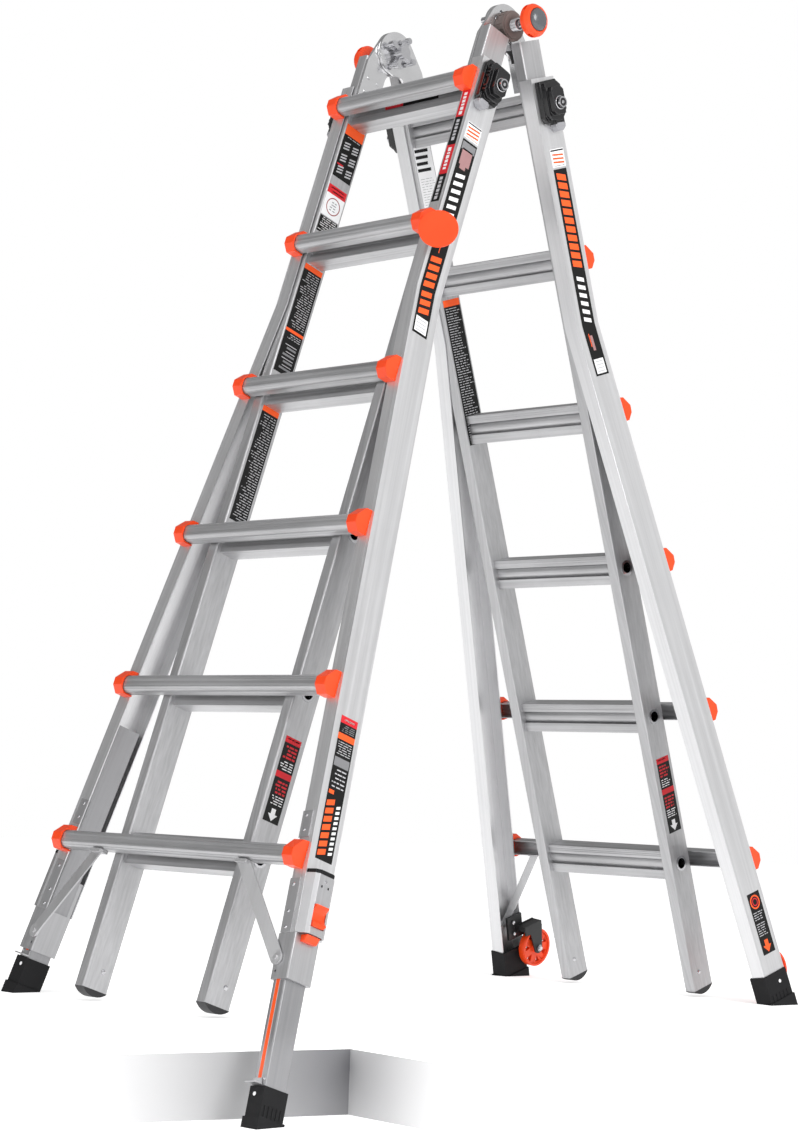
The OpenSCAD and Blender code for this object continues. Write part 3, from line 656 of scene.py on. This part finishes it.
def leg_trim():
    """The orange stripe down each sliding leg, with its pale edges, and two rivets."""
    for tag, side, drop in (("left", -1, 0.0), ("right", 1, LEG_DROP)):
        low = place("front", side, True, drop)
        p = Piece("leg_stripe_" + tag, low, tag + "_leg", ["l_orange"])
        p.box(-24.5, -16, 62.02, 62.16, -1322, -1080, "l_orange")
        p.box(-25.6, -24.5, 62.02, 62.2, -1322, -1080, "l_pale")
        p.box(-16, -14.9, 62.02, 62.2, -1322, -1080, "l_pale")
        for x in (-27, -9):
            p.dome((x, 62.05, -1316), "y", 2.6, 1.3, "steel")
        p.done()


def boot_trim():
    """A pale bolt head and moulded ribs on each boot."""
    for tag, side, drop in (("left", -1, 0.0), ("right", 1, LEG_DROP)):
        low = place("front", side, True, drop)
        p = Piece("front_boot_trim_" + tag, low, tag + "_leg", ["rubber"])
        p.dome((-22, 65.05, -1341), "y", 3.6, 1.6, "l_white")
        for i in range(5):
            p.box(-1.55, -0.4, 18 + 9 * i, 21 + 9 * i, -1378, -1358, "rubber")
        p.done(0.3)
        low = place("rear", side, True)
        q = Piece("rear_boot_trim_" + tag, low, "rear_outer", ["rubber"])
        q.dome((2.05, 40, -1342), "x", 3.6, 1.6, "l_white")
        for i in range(5):
            q.box(1.95, 3.1, 8 + 11 * i, 11 + 11 * i, -1380, -1362, "rubber")
        q.done(0.3)


def wheel_trim():
    """Hexagonal bolts on each wheel bracket and on the wheel's axle."""
    for tag, side in SIDES:
        p = Piece("bracket_bolts_" + tag, place("rear", side, True), "rear_outer", ["steel"])
        for z in (-1260.6, -1285.6):
            p.lathe([(0, -39.6), (4.6, -39.6), (4.6, -41.4), (3.2, -42.6), (0, -42.9)],
                    (0, 33, z), "x", "steel", 6)
        p.lathe([(0, -66.6), (6, -66.6), (6, -69.0), (4.4, -70.4), (0, -70.6)],
                (0, 80, -1330), "x", "steel", 6)
        p.done(0.2)


rail_rivets()
lock_trim()
knob_trim()
leveler_trim()
leg_trim()
boot_trim()
wheel_trim()


# ---- stage: an upper floor with a step down at its front right corner ----
def flat_mesh(name, loop, material):
    """One flat face of the stage."""
    mesh = bpy.data.meshes.new(name)
    mesh.from_pydata(loop, [], [range(len(loop))])
    mesh.materials.append(material)
    obj = bpy.data.objects.new(name, mesh)
    bpy.context.scene.collection.objects.link(obj)


# The grey painted shade of the step stops below its white top edge.
CORNER = Vector((HINGE.x + 0.332, HINGE.y - 0.4647))
STEP, GREY, FAR = 0.154, 0.11, 9
LOW = 12
left_end, right_end = (CORNER + FAR * Vector((math.cos(a), math.sin(a)))
                       for a in (math.radians(258), math.radians(355)))
floor = Shader("stage_floor", 0.9)
floor.bsdf.inputs["Specular IOR Level"].default_value = 0.0
floor.colour((0.93, 0.93, 0.93))
floor.bsdf.inputs["Emission Color"].default_value = (1, 1, 1, 1)
floor.bsdf.inputs["Emission Strength"].default_value = 0.55


def painted_shade_wall(name, dark, length):
    """A matt wall with painted shade: grey at the inner corner, pale at a distance from it, where it
    also glows more.
    """
    wall = Shader(name, 0.9)
    wall.bsdf.inputs["Specular IOR Level"].default_value = 0.0
    reach = wall.tree.nodes.new("ShaderNodeVectorMath")
    reach.operation = "DISTANCE"
    wall.put(reach.inputs[0], wall.tree.nodes.new("ShaderNodeTexCoord").outputs["Object"])
    reach.inputs[1].default_value = (CORNER.x, CORNER.y, 0.08)
    shade_fade = wall.tree.nodes.new("ShaderNodeMapRange")
    wall.put(shade_fade.inputs["Value"], reach.outputs["Value"])
    shade_fade.inputs["From Max"].default_value = length
    wall.colour(wall.mix(shade_fade.outputs[0], dark, (0.95, 0.95, 0.95)))
    wall.bsdf.inputs["Emission Color"].default_value = (1, 1, 1, 1)
    wall.put(wall.bsdf.inputs["Emission Strength"], wall.math("MULTIPLY", shade_fade.outputs[0], 0.45))
    return wall.mat


top = [CORNER, left_end, (-FAR, left_end.y), (-FAR, FAR), (FAR, FAR), (FAR, right_end.y), right_end]
flat_mesh("stage_upper_floor", [(*p, STEP) for p in top], floor.mat)
flat_mesh("stage_lower_floor", [(-LOW, -LOW, 0), (LOW, -LOW, 0), (LOW, LOW, 0), (-LOW, LOW, 0)],
          floor.mat)
# The left wall is painted a darker grey than the right one: painted shade on both, deeper on the
# left.
for side, a, b, dark, length in (("left", CORNER, left_end, (0.16, 0.16, 0.17), 0.9),
                                 ("right", right_end, CORNER, (0.37, 0.37, 0.38), 0.4)):
    finish = painted_shade_wall("stage_wall_painted_shade_" + side, dark, length)
    flat_mesh("stage_step_" + side, [(*a, 0), (*b, 0), (*b, GREY), (*a, GREY)], finish)
    flat_mesh("stage_edge_" + side, [(*a, GREY), (*b, GREY), (*b, STEP), (*a, STEP)], floor.mat)


# ---- light and camera ----
scene = bpy.context.scene
scene.view_settings.view_transform = "Standard"
world = bpy.data.worlds.new("studio")
scene.world = world
world.use_nodes = True
nodes, links = world.node_tree.nodes, world.node_tree.links
nodes["Background"].inputs["Color"].default_value = (1, 1, 1, 1)
nodes["Background"].inputs["Strength"].default_value = 1.0
# The camera sees plain white. The object sees a room that is brighter on one side.
lit = nodes.new("ShaderNodeBackground")
turn = nodes.new("ShaderNodeVectorMath")
turn.operation = "DOT_PRODUCT"
links.new(nodes.new("ShaderNodeTexCoord").outputs["Generated"], turn.inputs[0])
turn.inputs[1].default_value = Vector((0.86, -0.1, 0.5)).normalized()
ramp = nodes.new("ShaderNodeMapRange")
links.new(turn.outputs["Value"], ramp.inputs["Value"])
ramp.inputs["From Min"].default_value = -0.6
ramp.inputs["To Min"].default_value = 0.2
ramp.inputs["To Max"].default_value = 1.05
links.new(ramp.outputs[0], lit.inputs["Strength"])
pick = nodes.new("ShaderNodeMixShader")
links.new(nodes.new("ShaderNodeLightPath").outputs["Is Camera Ray"], pick.inputs[0])
links.new(lit.outputs[0], pick.inputs[1])
links.new(nodes["Background"].outputs[0], pick.inputs[2])
links.new(pick.outputs[0], nodes["World Output"].inputs[0])


def area(name, at, target, size, power):
    """A round soft light aimed at a point."""
    data = bpy.data.lights.new(name, "AREA")
    data.shape = "DISK"
    data.size = size
    data.energy = power
    obj = bpy.data.objects.new(name, data)
    obj.location = at
    obj.rotation_euler = (Vector(target) - Vector(at)).to_track_quat("-Z", "Y").to_euler()
    scene.collection.objects.link(obj)


area("key", (4.5, -0.4, 3.2), (0, 0, 1.0), 2.5, 130)
area("front_fill", (-0.6, -5.0, 2.6), (0, 0, 1.0), 3.0, 40)

camera = bpy.data.cameras.new("camera")
camera.sensor_width = 36
camera.sensor_height = 36
camera.sensor_fit = "AUTO"
camera.lens = 84.404
camera.clip_end = 60
view = bpy.data.objects.new("camera", camera)
axes = Matrix(((0.68915593, 0.0321698, 0.72389862), (0.72366641, -0.08160485, -0.68530838),
               (0.03702741, 0.99614545, -0.07951868)))
stand = HINGE + Vector((3.68188, -3.56455, -1.446614))
view.matrix_world = Matrix.Translation(stand) @ axes.to_4x4()
scene.collection.objects.link(view)
scene.camera = view
